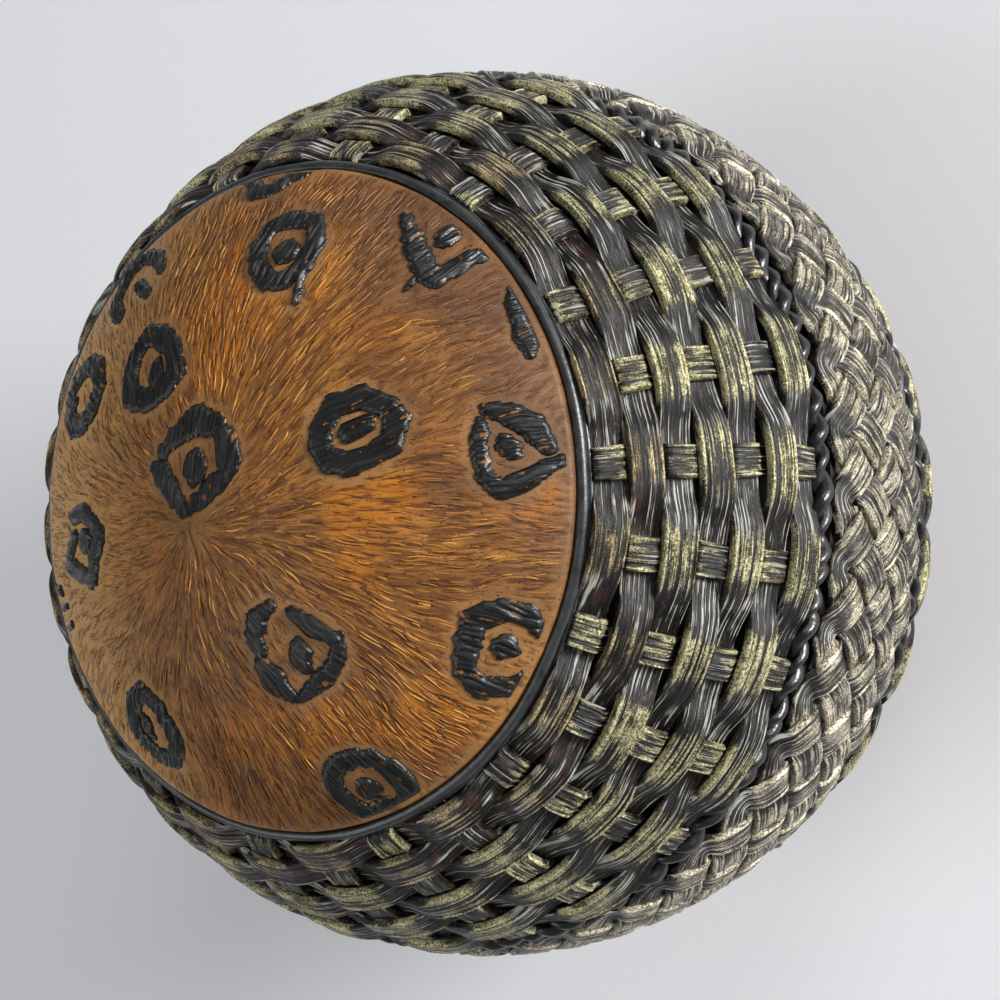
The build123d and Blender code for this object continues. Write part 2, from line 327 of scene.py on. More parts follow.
def hide_material(side_name):
    """Painted fur: tan ground, dark cuts between the hairs and brown stains, with painted shade on one side
    and painted light on the other.
    """
    s = Shader(f"hide_{side_name}_ground")
    cut, smooth, warm, painted_shade = (s.layer(name) for name in ("cut", "smooth", "warm", "painted_shade"))
    grain = s.noise(0.20, 3.0, rough=0.7)
    fine = s.noise(1.0, 3.0, s.flow(WHORL[side_name], 62.0, 6.0), unit=1.0)
    broad = s.noise(1.0, 2.0, s.flow(WHORL[side_name], 14.0, 3.0), unit=1.0)
    ground = s.mix(s.step(broad, 0.32, 0.68), colour(104, 66, 27), colour(150, 99, 44))
    ground = s.mix(s.times(warm, 0.75), ground, colour(176, 104, 18))
    ground = s.mix(s.step(s.noise(6.0, 3.0), 0.50, 0.72), ground, colour(112, 70, 34))
    ground = s.mix(s.times(smooth, 0.7), ground, colour(142, 104, 62))
    # Painted shade: the ground darkens towards one side of the hide.
    ground = s.mix(s.times(painted_shade, 0.85), ground, colour(80, 54, 34))
    # Painted light: the +Y side of the hide is lightened as if lit more and catching sheen.
    ground = s.mix(s.times(s.painted_light_side(), 0.8), ground, colour(206, 160, 98))
    streak = s.sum((s.step(fine, 0.46, 0.64), 0.62), (smooth, -0.4))
    fur = s.mix(s.math("MAXIMUM", streak, 0.0), ground, colour(76, 42, 18))
    shade = s.step(s.sum((cut, 1.0), (grain, 0.3)), 0.34, 0.80)
    fur = s.mix(s.times(shade, 0.62), fur, colour(62, 32, 13))
    pits = s.step(s.noise(0.30, 1.0), 0.65, 0.71)
    fur = s.mix(s.times(pits, 0.75), fur, colour(44, 24, 16))
    stain = s.step(s.sum((s.noise(1.5, 4.0), 0.7), (broad, 0.3)), 0.565, 0.65)
    fur = s.mix(s.times(stain, 0.6), fur, colour(62, 34, 22))
    return s.finish(
        Base_Color=fur,
        Roughness=s.sum((grain, 0.25), (fine, 0.25), (1.0, 0.28)),
        Specular_IOR_Level=0.3,
        Normal=s.bump(s.sum((grain, 0.3), (fine, -0.9)), 0.10),
    )


def hair_material():
    """Raised hairs brushed with golden brown."""
    s = Shader("hide_hairs")
    tone, painted_shade = s.layer("tone"), s.layer("painted_shade")
    grain = s.noise(0.16, 3.0, rough=0.7)
    level = s.sum((tone, 1.0), (s.noise(2.5, 2.0), 0.9), (grain, 0.35))
    hair = s.mix(s.step(level, 0.75, 1.25), colour(100, 62, 23), colour(150, 97, 32))
    hair = s.mix(s.step(level, 1.40, 1.75), hair, colour(192, 138, 62))
    # Painted shade on the hairs, darker towards the same side.
    hair = s.mix(s.times(painted_shade, 0.8), hair, colour(92, 62, 38))
    # Painted light on the hairs, lighter on the same +Y side.
    hair = s.mix(s.times(s.painted_light_side(), 0.7), hair, colour(214, 168, 104))
    hair = s.mix(s.step(s.noise(0.34, 1.0), 0.66, 0.74), hair, colour(54, 30, 20))
    return s.finish(
        Base_Color=hair,
        Roughness=s.between(grain, 0.34, 0.55),
        Specular_IOR_Level=0.4,
        Normal=s.bump(grain, 0.03),
    )


def spot_material(side_name):
    """Charcoal paint over fine hair ridges, with amber showing in a few cuts."""
    s = Shader(f"hide_{side_name}_spot_paint")
    cut, rise = s.layer("cut"), s.layer("rise")
    grain = s.noise(0.18, 3.0)
    fine = s.noise(1.0, 3.0, s.flow(WHORL[side_name], 80.0, 5.0), unit=1.0)
    black = s.mix(grain, colour(12, 12, 12), colour(26, 27, 26))
    black = s.mix(s.step(s.sum((rise, 0.8), (fine, 0.7)), 0.75, 1.15), black, colour(36, 36, 35))
    black = s.mix(s.step(s.sum((cut, 0.6), (fine, -0.6)), -0.1, 0.3), black, colour(8, 8, 8))
    amber = s.times(s.step(s.sum((cut, 0.5), (s.noise(1.1, 2.0), 1.5), (fine, 0.5)), 1.54, 1.70), 0.8)
    return s.finish(
        Base_Color=s.mix(amber, black, colour(132, 84, 30)),
        Roughness=s.sum((grain, 0.25), (fine, 0.15), (1.0, 0.12)),
        Specular_IOR_Level=0.38,
        Normal=s.bump(s.sum((grain, 0.2), (fine, 1.0)), 0.10),
    )


def cord_material(name, shade, worn, roughness):
    """Painted cord with slightly lighter, worn high places."""
    s = Shader(name)
    grain = s.noise(0.3, 3.0)
    wear = s.step(s.sum((s.layer("crest"), 0.5), (s.noise(1.3, 3.0), 1.0)), 0.72, 1.0)
    paint = s.mix(grain, colour(*shade), colour(*(v * 0.6 for v in shade)))
    return s.finish(
        Base_Color=s.mix(wear, paint, colour(*worn)),
        Roughness=s.between(grain, roughness - 0.06, roughness + 0.1),
        Specular_IOR_Level=0.6,
        Normal=s.bump(s.noise(0.5, 3.0), 0.05),
    )


def core_material():
    """Dark paint pooled in the depths under the weave."""
    s = Shader("core_paint")
    grain = s.noise(0.6, 3.0)
    return s.finish(
        Base_Color=s.mix(s.noise(2.0, 2.0), colour(14, 12, 11), colour(34, 22, 16)),
        Roughness=s.between(grain, 0.4, 0.6),
        Normal=s.bump(grain, 0.06),
    )


# -------- strips: weavers, stakes, plait
def section_places(count):
    """Places across a strip from -1 to 1, closer together at its edges."""
    s = np.linspace(-1, 1, count)
    return 0.6 * s + 0.4 * np.sin(np.pi / 2 * s)


def grooves(rng, places, across, count, knots, width, depth):
    """Lengthwise cuts that wander and fade, as their depth over the strip."""
    total = np.zeros((len(places), len(across)))
    for k in range(count):
        line = -0.80 + 1.6 * (k + 0.5) / count + 0.10 * drift(rng, places, knots)
        fade = np.clip(0.55 + 0.75 * drift(rng, places, 3 * knots), 0.05, 1)
        size = width * (1 + 0.35 * drift(rng, places, 2 * knots))
        total += (depth * fade)[:, None] * np.exp(-(((across[None] - line[:, None]) / size[:, None]) ** 2))
    return total


def strip_mesh(out, sideways, radius, width, relief, thickness, closed):
    """Points and faces of a flat strip with a modelled outer face."""
    steps, count = relief.shape
    across = section_places(count)
    under = np.array([0.97, 0.5, 0.0, -0.5, -0.97])
    half = (width / 2)[:, None]
    top_radius = radius[:, None] + relief
    low_radius = (radius - thickness)[:, None] + 0 * under[None]
    radii = np.concatenate([top_radius, low_radius], 1)
    offsets = np.concatenate([half * across[None], half * under[None]], 1)
    points = out[:, None] * radii[..., None] + sideways[:, None] * offsets[..., None]
    girth = count + len(under)
    faces = [grid_quads(steps, girth, closed_rows=closed, closed_columns=True)]
    if not closed:
        faces.append(np.array([np.arange(girth)[::-1], (steps - 1) * girth + np.arange(girth)]))
    return points, faces


def strip_face(rng, places, count, cuts, knots, thickness, cut_width=0.055, cut_depth=0.17):
    """Relief of a strip's outer face and its groove and edge layers."""
    across = section_places(count)
    depth = grooves(rng, places, across, cuts, knots, cut_width, cut_depth)
    edge = np.exp(-(((np.abs(across) - 0.86) / 0.09) ** 2))[None] * (
        0.65 + 0.35 * drift(rng, places, 2 * knots)[:, None]
    )
    rounding = np.clip((np.abs(across) - 0.90) / 0.10, 0, 1)[None] ** 2 * thickness * 0.8
    pillow = 0.10 * (1 - across[None] ** 2)
    relief = pillow + 0.12 * edge - depth - rounding
    return relief, depth / cut_depth, edge


def strip_layers(crest, edge, groove, places, width, length):
    """The point layers of a strip, with its own coordinates in millimetres."""
    across = section_places(edge.shape[1])[None] * width[:, None] / 2
    along = (places * length)[:, None] + 0 * across
    layers = {"edge": edge, "across": across, "along": along}
    layers = {key: with_underside(value) for key, value in layers.items()}
    layers["crest"] = with_underside(crest + 0 * across)
    layers["groove"] = with_underside(groove, 1.0)
    return layers


def with_underside(layer, value=0.0):
    """A layer over the outer face, continued over the five points of the underside."""
    return np.concatenate([layer, np.full((len(layer), 5), value)], 1)


def weave_wave(row, azimuth):
    """1 where the weaver of this row is over a stake and -1 where it is under one."""
    return np.cos(np.radians(STAKE_COUNT / 2 * (azimuth - STAKE_AZIMUTH))) * (-1) ** row


def weaver(row, side_name):
    """A closed ring over every second stake and under the others."""
    rng = draws_for(side_name, 1, row)
    steps = 760 + 16 * row
    places = np.arange(steps) / steps
    azimuth = 360 * places
    wave = weave_wave(row, azimuth)
    lift = np.tanh(WEAVE_FLATNESS * wave) / np.tanh(WEAVE_FLATNESS)
    polar = FIRST_WEAVER + WEAVER_PITCH * (row - 1) + 0.36 * drift(rng, places, 30)
    width = WEAVER_WIDTH + 0.22 * drift(rng, places, 31) - 0.10 * lift
    middle = WEAVE_RADIUS + (WEAVE_LIFT - WEAVE_DIP) / 2 + (WEAVE_LIFT + WEAVE_DIP) / 2 * lift
    radius = middle + SPLINT_THICKNESS / 2 - 0.14 + 0.05 * drift(rng, places, 40)
    relief, groove, edge = strip_face(rng, places, 36, 9, 12, SPLINT_THICKNESS)
    out, down = directions(polar, azimuth)
    points, faces = strip_mesh(out, down, radius, width, relief, SPLINT_THICKNESS, closed=True)
    crest = smoothstep(-0.05, 0.95, wave + 0.30 * drift(rng, places, 90))
    length = 2 * np.pi * WEAVE_RADIUS * np.sin(np.radians(polar[0]))
    layers = strip_layers(crest[:, None], edge, groove, places, width, length)
    name = f"weaver_{side_name}_{row}"
    material = MATERIALS["weaver_near_hide" if row <= WEAVERS_NEAR_HIDE else "weaver"]
    add_piece(name, "_splint", points, faces, material, layers, side_name)


def stakes(first, side_name):
    """Every second stake, as one piece."""
    all_points, all_faces, all_layers = [], [], []
    start = 0
    for k in range(first, STAKE_COUNT, 2):
        rng = draws_for(side_name, 2, k)
        polar = np.linspace(STAKE_START, STAKE_END, STAKE_STEPS)
        places = (polar - STAKE_START) / (STAKE_END - STAKE_START)
        azimuth = STAKE_AZIMUTH + 360 / STAKE_COUNT * k + 0.35 * drift(rng, places, 5)
        out, down = directions(polar, azimuth)
        sideways = np.cross(out, down)
        row = 1 + (polar - FIRST_WEAVER) / WEAVER_PITCH
        show = np.cos(np.pi * (row + k)) * -1  # 1 in the middle of a stretch that shows
        radius = WEAVE_RADIUS + SPLINT_THICKNESS / 2 - 0.12 + STAKE_LIFT * np.tanh(3.2 * (show - 0.12))
        width = STAKE_WIDTH + 0.15 * drift(rng, places, 9)
        relief, groove, edge = strip_face(rng, places, 30, 7, 6, SPLINT_THICKNESS, 0.07, 0.16)
        points, faces = strip_mesh(out, -sideways, radius, width, relief, SPLINT_THICKNESS, closed=False)
        all_points.append(points.reshape(-1, 3))
        all_faces.append([f + start for f in faces])
        start += points.shape[0] * points.shape[1]
        crest = 0.9 * smoothstep(0.0, 0.4, show) * (0.75 + 0.45 * drift(rng, places, 7))
        shoulder = np.exp(-(((show - 0.30) / 0.20) ** 2))[:, None]
        edge = np.maximum(edge, 0.9 * shoulder)
        all_layers.append(strip_layers(crest[:, None], edge, groove, places + k, width, 25.0))
    layers = {key: np.concatenate([one[key] for one in all_layers]) for key in all_layers[0]}
    faces = [np.concatenate([f[k] for f in all_faces]) for k in range(2)]
    name, points = f"stakes_{side_name}_{'even' if first else 'odd'}", np.concatenate(all_points)
    add_piece(name, "_splints", points, faces, MATERIALS["stake"], layers, side_name)


def plait_strand(strand):
    """One zigzag strand, over and under the strands it crosses."""
    rng = np.random.default_rng([SEED, 3, strand])
    places = np.arange(STRAND_STEPS + 1) / STRAND_STEPS

    def path(azimuth):
        angle = np.radians(ZIGZAGS * (azimuth - PLAIT_AZIMUTH)) - 2 * np.pi * strand / STRAND_COUNT
        return angle, 90 - PLAIT_STEEPNESS * np.arcsin(PLAIT_SHARPNESS * np.sin(angle))

    azimuth = PLAIT_JOIN + 360 * places
    phase, polar = path(azimuth)
    ahead = directions(path(azimuth + 0.1)[1], azimuth + 0.1)[0]
    behind = directions(path(azimuth - 0.1)[1], azimuth - 0.1)[0]
    out = directions(polar, azimuth)[0]
    sideways = np.cross(out, ahead - behind)
    sideways /= np.linalg.norm(sideways, axis=1)[:, None]
    wave = np.tanh(2 * np.cos(STRAND_COUNT * phase)) / np.tanh(2)
    top = -wave * np.tanh(5 * np.cos(phase))
    radius = PLAIT_RADIUS + PLAIT_LIFT * top + PLAIT_THICKNESS / 2 - 0.12 + 0.05 * drift(rng, places, 60)
    turning = np.abs(np.sin(phase)) ** 12
    width = PLAIT_WIDTH - 0.9 * turning + 0.25 * drift(rng, places, 45)
    relief, groove, edge = strip_face(rng, places, 32, 8, 26, PLAIT_THICKNESS, 0.055, 0.15)
    points, faces = strip_mesh(out, sideways, radius, width, relief, PLAIT_THICKNESS, closed=False)
    crest = smoothstep(-0.6, 0.8, top + 0.5 * drift(rng, places, 120))[:, None]
    layers = strip_layers(crest, edge, groove, places, width, 446.0)
    name = f"plait_strand_{strand + 1}"
    add_piece(name, "_splint", points, faces, MATERIALS["plait"], layers)


# -------- cords
def tube(centre, out, down, radius, sides):
    """A closed tube round a centre line, with a radius for each step."""
    angle = 2 * np.pi * np.arange(sides) / sides
    ring = out[:, None] * np.cos(angle)[None, :, None] + down[:, None] * np.sin(angle)[None, :, None]
    points = centre[:, None] + ring * radius[:, None, None]
    faces = [grid_quads(len(centre), sides, closed_rows=True, closed_columns=True)[:, ::-1]]
    crest = np.clip(np.cos(angle), 0, 1)[None] * np.ones((len(centre), 1))
    return points, faces, crest


def rope_ply(ply, side_name):
    """One of the two lumpy plies of a black cord."""
    rng = draws_for(side_name, 4, ply)
    steps = ROPE_TWISTS * STEPS_PER_TWIST
    places = np.arange(steps) / steps
    azimuth = 360 * places
    twist = 2 * np.pi * ROPE_TWISTS * places + np.pi * ply + 1.1 * drift(rng, places, 34)
    out, down = directions(ROPE_POLAR + 0.10 * drift(np.random.default_rng(SEED), places, 40), azimuth)
    centre = out * (ROPE_CENTRE + 0.50 * np.cos(twist))[:, None] + down * (0.55 * np.sin(twist))[:, None]
    points, faces, crest = tube(centre, out, down, PLY_RADIUS + 0.19 * drift(rng, places, 100), PLY_SIDES)
    name = f"rope_{side_name}_strand_{ply + 1}"
    layers = {"crest": crest}
    add_piece(name, "_cord", points, faces, MATERIALS["rope"], layers, side_name)


def rim_cord(side_name):
    """The edging cord and the thin bead beside it."""
    rng = draws_for(side_name, 5)
    places = np.arange(RIM_CORD_STEPS) / RIM_CORD_STEPS
    parts = []
    for polar, centre_radius, radius in RIM_CORDS:
        wobble = 0.10 * drift(rng, places, 34)
        out, down = directions(polar + wobble, 360 * places)
        centre = out * (centre_radius + 0.05 * drift(rng, places, 50))[:, None]
        sizes = radius * (1 + 0.07 * drift(rng, places, 60))
        parts.append(tube(centre, out, down, sizes, RIM_CORD_SIDES))
    points = np.concatenate([p[0].reshape(-1, 3) for p in parts])
    count = RIM_CORD_STEPS * RIM_CORD_SIDES
    faces = [np.concatenate([parts[0][1][0], parts[1][1][0] + count])]
    crest = np.concatenate([p[2].ravel() for p in parts])
    name = f"rim_cord_{side_name}"
    layers = {"crest": crest}
    add_piece(name, "_bead", points, faces, MATERIALS["rim"], layers, side_name)


# -------- spots of the hide
PIXEL = 0.10  # spacing of the relief rasters
HAIR_STEPS = 6
REACH = 37.2  # the rasters' half width
SPOT_CELL = 0.125  # spacing of the spots' meshes
SPOT_REACH = 7.2  # half width of the square that each is cut from


def ring(width, *points):
    """A closed stroke."""
    return {"points": points + points[:1], "widths": [width] * (len(points) + 1)}


def stroke(widths, *points):
    widths = [widths] * len(points) if isinstance(widths, (int, float)) else widths
    return {"points": points, "widths": widths}


def dot(x, y, long_radius, short_radius, tilt=0):
    return {"points": ((x, y),), "widths": (long_radius, short_radius, tilt)}


# Each spot: its centre and the strokes and dots that it is painted with
SPOTS = [
    ((-1.45, 34.96), [
        stroke(2.1, (-4.3, 1.5), (-1.8, -1.4), (0.6, -1.2), (2.0, 0.1), (4.2, 1.6)),
    ]),
    ((4.95, 24.74), [
        ring(2.3, (-3.0, 3.4), (-0.9, 4.2), (1.9, 3.8), (3.2, 1.3), (2.8, -1.5), (0.9, -3.4), (-1.1, -3.4),
             (-3.0, -1.3), (-3.8, 1.1)),
        dot(0.1, 0, 1.7, 1.5),
        stroke(0.9, (2.8, -2.5), (2.8, -5.8)),
    ]),
    ((21.44, 24.74), [
        stroke([1.2, 2.0, 2.4, 2.6, 2.4], (-4.4, 4.2), (-3.3, 2.0), (-2.2, 0), (-0.8, -2.3), (0.4, -3.2)),
        stroke(1.9, (0.4, -3.2), (2.0, -2.0), (4.1, -0.2)),
        dot(0.5, 1.9, 1.3, 1.5),
        stroke(0.5, (-1.5, -2.7), (-2.4, -4.5)),
    ]),
    ((31.0, 17.48), [
        stroke([1.4, 2.2, 2.8, 2.4, 1.2], (-1.4, 3.6), (-0.9, 1.7), (0.1, -0.5), (0.8, -2.4), (1.0, -3.8)),
    ]),
    ((-18.47, 24.41), [
        stroke([2.2, 2.4, 2.4, 2.4, 2.2, 2.0, 1.4], (-0.9, -4.0), (-3.4, -2.5), (-3.8, 0.4), (-2.8, 2.6),
               (-0.4, 3.6), (2.5, 2.6), (4.7, 0.8)),
        stroke(1.6, (1.0, -0.6), (3.8, -2.1)),
    ]),
    ((-24.08, 11.87), [
        ring(2.7, (-4.3, 0.4), (-2.8, 2.5), (0.4, 3.4), (3.2, 2.5), (4.7, 0.4), (4.0, -2.1), (1.9, -3.4),
             (-0.9, -3.6), (-3.4, -1.9)),
        dot(-1.9, -0.6, 0.9, 0.9),
    ]),
    ((-9.43, 13.19), [
        ring(2.5, (-1.9, 3.6), (-3.4, 1.7), (-3.4, -0.6), (-2.8, -3.0), (0, -3.6), (2.5, -2.6), (4.2, -0.9),
             (2.8, 1.7), (0.4, 3.4)),
        dot(1.0, -0.6, 0.95, 1.5),
    ]),
    ((-1.85, 3.43), [
        stroke([1.5, 2.2, 3.2, 2.6], (-4.0, 0.9), (-2.3, 2.3), (0.6, 3.8), (2.0, 3.2)),
        stroke([1.6, 2.4, 2.8], (2.8, 3.6), (4.0, 1.9), (4.6, -0.2)),
        stroke([1.2, 2.2, 1.8, 1.0], (5.2, -1.2), (3.2, -2.6), (0.9, -4.2), (0, -4.8)),
        stroke([1.6, 2.6, 2.2, 1.4], (-5.0, -0.8), (-3.8, -1.5), (-2.3, -3.4), (-0.9, -5.0)),
        dot(0.4, -0.9, 1.4, 1.9),
    ]),
    ((16.16, 5.41), [
        ring(2.4, (-3.4, 0.9), (-2.3, 2.8), (0.6, 3.4), (2.8, 2.6), (4.0, 1.1), (3.4, -0.9), (1.5, -2.3),
             (-0.8, -3.0), (-2.5, -2.8), (-3.6, -1.3)),
        dot(0, 0.5, 2.0, 1.1, 30),
    ]),
    ((31.0, 3.96), [
        stroke([1.9, 1.6, 1.6, 2.0, 2.2, 2.0, 1.4, 0.5], (-3.2, 1.9), (-3.2, -0.4), (-2.8, -2.5),
               (-1.1, -4.0), (0.9, -3.2), (2.8, -1.9), (4.4, -1.1), (5.1, -1.5)),
        stroke([1.5, 2.4, 2.8, 1.8], (-2.6, 3.8), (-0.4, 3.4), (1.7, 2.3), (3.2, 0.2)),
        dot(-0.4, 0.2, 1.7, 1.0, -45),
    ]),
    ((-20.98, -4.62), [
        stroke(2.0, (-2.1, 3.0), (0.6, 3.4), (2.8, 2.3), (4.3, 1.1)),
        stroke(2.2, (4.0, 0.4), (2.6, -1.5), (1.9, -3.6)),
        stroke(2.2, (-4.2, -2.3), (-0.9, -3.0), (1.5, -3.6)),
        stroke(1.8, (-3.8, -0.9), (-1.9, 0.9)),
        dot(0.9, 0.4, 1.5, 1.5),
    ]),
    ((-14.51, -24.08), [
        ring(2.4, (0.9, 3.8), (2.8, 2.3), (3.6, 0), (3.6, -2.1), (1.9, -4.0), (-0.6, -4.0), (-2.5, -2.5),
             (-3.6, -0.6), (-2.6, 1.7), (-0.9, 3.2)),
        dot(-0.5, -0.2, 0.9, 1.6),
    ]),
    ((8.91, -15.5), [
        stroke([1.2, 2.4, 2.2, 1.2], (-2.3, 4.5), (-3.8, 3.4), (-4.5, 1.7), (-3.8, 0)),
        stroke([1.8, 3.0, 1.6], (-4.2, -1.3), (-3.2, -2.8), (-1.7, -4.5)),
        stroke([1.4, 2.2, 1.6], (0.2, 3.8), (2.1, 2.5), (4.3, 1.3)),
        stroke([1.6, 1.9, 2.1, 1.3], (4.5, 0.4), (3.6, -1.3), (2.1, -2.8), (-0.4, -4.5)),
        dot(0.4, -0.4, 1.3, 1.9),
    ]),
    ((29.02, -16.03), [
        stroke([1.6, 2.2, 2.4, 2.8, 2.6, 2.2, 2.4, 2.2, 1.2], (4.0, 1.5), (2.8, 3.4), (0.4, 4.1), (-2.3, 3.0),
               (-3.2, 0.6), (-3.8, -1.9), (-2.5, -3.8), (0.4, -4.0), (2.3, -2.8)),
        dot(0.4, 0.3, 1.4, 1.3),
    ]),
    ((12.73, -29.68), [
        stroke(2.2, (1.5, 2.6), (-0.4, 2.9), (-2.5, 2.3), (-3.6, 0.8), (-3.8, -1.3), (-2.6, -3.2),
               (-0.6, -4.0), (1.0, -3.0)),
        stroke([2.0, 2.8, 2.6, 2.2, 1.0], (1.5, 2.6), (2.8, 1.3), (4.0, -0.4), (3.8, -1.9), (2.6, -2.8)),
        dot(-0.2, -0.9, 1.5, 1.3),
    ]),
    ((-29.68, -12.53), [
        stroke(1.0, (-4, 3), (-1, 2.6)),
        stroke(0.8, (-2, 0.7), (0.5, 1.0)),
        stroke(1.0, (-1, -1.5), (1, -1.2)),
    ]),
]


def back_spots():
    """Spots of the unseen hide: the same brushwork, turned, in an even spread of places."""
    spots = []
    places = [(16, 20), (17.5, 140), (16.5, 262)] + [(33.5 + 1.6 * (k % 2), 36 * k + 9) for k in range(10)]
    models = (5, 8, 12, 13, 1, 6, 10, 11, 14, 4, 7, 9, 2)
    for k, (polar, azimuth) in enumerate(places):
        model = SPOTS[models[k]][1]
        turn = np.radians(90 * k + 35)
        cos, sin = np.cos(turn), np.sin(turn)
        strokes = []
        for mark in model:
            points = tuple((x * cos - y * sin, x * sin + y * cos) for x, y in mark["points"])
            widths = mark["widths"]
            if len(points) == 1:
                widths = (widths[0], widths[1], widths[2] + np.degrees(turn))
            strokes.append({"points": points, "widths": widths})
        reach, angle = polar * MM_PER_DEGREE, np.radians(azimuth + 90)
        spots.append(((reach * np.cos(angle), reach * np.sin(angle)), strokes))
    return spots


def mark_distance(mark, x, y):
    """Distance outside a stroke or dot, negative inside, by points."""
    points = np.array(mark["points"], float)
    if len(points) == 1:
        long_radius, short_radius, tilt = mark["widths"]
        cos, sin = np.cos(np.radians(tilt)), np.sin(np.radians(tilt))
        dx, dy = x - points[0, 0], y - points[0, 1]
        reach = np.hypot((dx * cos + dy * sin) / long_radius, (dy * cos - dx * sin) / short_radius)
        return (reach - 1) * min(long_radius, short_radius)
    best = np.full(x.shape, 99.0)
    for (a, b), (wa, wb) in zip(zip(points, points[1:]), zip(mark["widths"], mark["widths"][1:])):
        along = b - a
        t = np.clip(((x - a[0]) * along[0] + (y - a[1]) * along[1]) / (along @ along), 0, 1)
        gap = np.hypot(x - a[0] - t * along[0], y - a[1] - t * along[1])
        best = np.minimum(best, gap - (wa + (wb - wa) * t) / 2)
    return best


def spot_field(centre, marks, whorl, x, y, seed):
    """Distance outside a spot's ragged outline, and its hair pattern (-1 to 1), at places x, y."""
    flow = np.array(centre) - whorl
    flow /= np.hypot(*flow)
    warp = Cloud(seed, 2.6)(x, y)
    v = (x - centre[0]) * -flow[1] + (y - centre[1]) * flow[0] + 0.35 * warp
    u = (x - centre[0]) * flow[0] + (y - centre[1]) * flow[1]
    hair = np.clip(1.6 * Cloud(seed + 1, 1.0)(v / 0.18, u / 2.4), -1, 1)
    local_x, local_y = x - centre[0], y - centre[1]
    gap = np.minimum.reduce([mark_distance(mark, local_x, local_y) for mark in marks])
    ragged = 0.20 * Cloud(seed + 2, 0.5)(v, 0.3 * u) + 0.10 * hair
    return gap + ragged, hair


def raster(side_name, spots):
    """Distance to the nearest spot over the whole hide, in millimetres."""
    axis = np.arange(-REACH, REACH + PIXEL, PIXEL)
    x, y = np.meshgrid(axis, axis, indexing="ij")
    gap = np.full(x.shape, 9.0)
    for k, (centre, marks) in enumerate(spots):
        window = tuple(
            slice(max(0, int((c - 9 + REACH) / PIXEL)), int((c + 9 + REACH) / PIXEL)) for c in centre
        )
        found = spot_field(centre, marks, WHORL[side_name], x[window], y[window], 100 * k)[0]
        gap[window] = np.minimum(gap[window], found)
    return axis, x, y, gap


def spots_piece(side_name, spots):
    """All the spots of one hide as raised, hair-cut pads."""
    parts, quads_list, cuts, rises = [], [], [], []
    start = 0
    for k, (centre, marks) in enumerate(spots):
        axis = np.arange(-SPOT_REACH, SPOT_REACH, SPOT_CELL)
        gx, gy = np.meshgrid(axis + centre[0], axis + centre[1], indexing="ij")
        gap, hair = spot_field(centre, marks, WHORL[side_name], gx, gy, 100 * k)
        rim_gap = np.hypot(gx, gy) - (HIDE_EDGE - 1.1) * MM_PER_DEGREE
        gap = np.maximum(gap, rim_gap)
        inside = gap < 0
        cells = inside[:-1, :-1] & inside[1:, :-1] & inside[:-1, 1:] & inside[1:, 1:]
        numbers = np.arange(gap.size).reshape(gap.shape)
        i, j = np.nonzero(cells)
        quads = np.stack([numbers[i, j], numbers[i + 1, j], numbers[i + 1, j + 1], numbers[i, j + 1]], -1)
        used, quads = np.unique(quads, return_inverse=True)
        quads = quads.reshape(-1, 4)
        edges = np.stack([quads, np.roll(quads, -1, 1)], -1).reshape(-1, 2)
        ahead, back = edges @ (len(used), 1), edges @ (1, len(used))
        border = edges[~np.isin(ahead, back)]  # edges with a quad on one side only
        on_border = np.zeros(len(used), bool)
        on_border[border.ravel()] = True
        slope_x, slope_y = np.gradient(gap, SPOT_CELL)
        steep = np.maximum(slope_x**2 + slope_y**2, 0.2)
        depth = -gap.ravel()[used]
        shift = np.where(on_border, np.clip(depth, 0, SPOT_CELL), 0)
        px = gx.ravel()[used] + shift * (slope_x / steep).ravel()[used]
        py = gy.ravel()[used] + shift * (slope_y / steep).ravel()[used]
        depth = np.where(on_border, 0, depth)
        ridge = hair.ravel()[used]
        height = 0.08 + 0.26 * smoothstep(0, 0.5, depth) + 0.13 * ridge * smoothstep(0, 0.2, depth)
        polar, azimuth = np.hypot(px, py) / MM_PER_DEGREE, np.degrees(np.arctan2(py, px)) - 90
        out = directions(polar, azimuth)[0]
        top = out * (HIDE_RADIUS + height)[:, None]
        bottom = out * (HIDE_RADIUS - 0.35)
        count = len(used)
        walls = np.stack([border[:, 1], border[:, 0], border[:, 0] + count, border[:, 1] + count], -1)
        parts.append(np.concatenate([top, bottom]))
        quads_list.append(np.concatenate([quads, quads[:, ::-1] + count, walls]) + start)
        cuts.append(np.concatenate([smoothstep(0.1, 0.9, -ridge), np.ones(count)]))
        rises.append(np.concatenate([smoothstep(0.2, 1.0, ridge), np.zeros(count)]))
        start += 2 * count
    name = f"spots_{side_name}"
    layers = {"cut": np.concatenate(cuts), "rise": np.concatenate(rises)}
    points, faces = np.concatenate(parts), [np.concatenate(quads_list)]
    add_piece(name, "_pads", points, faces, MATERIALS[name], layers, side_name)


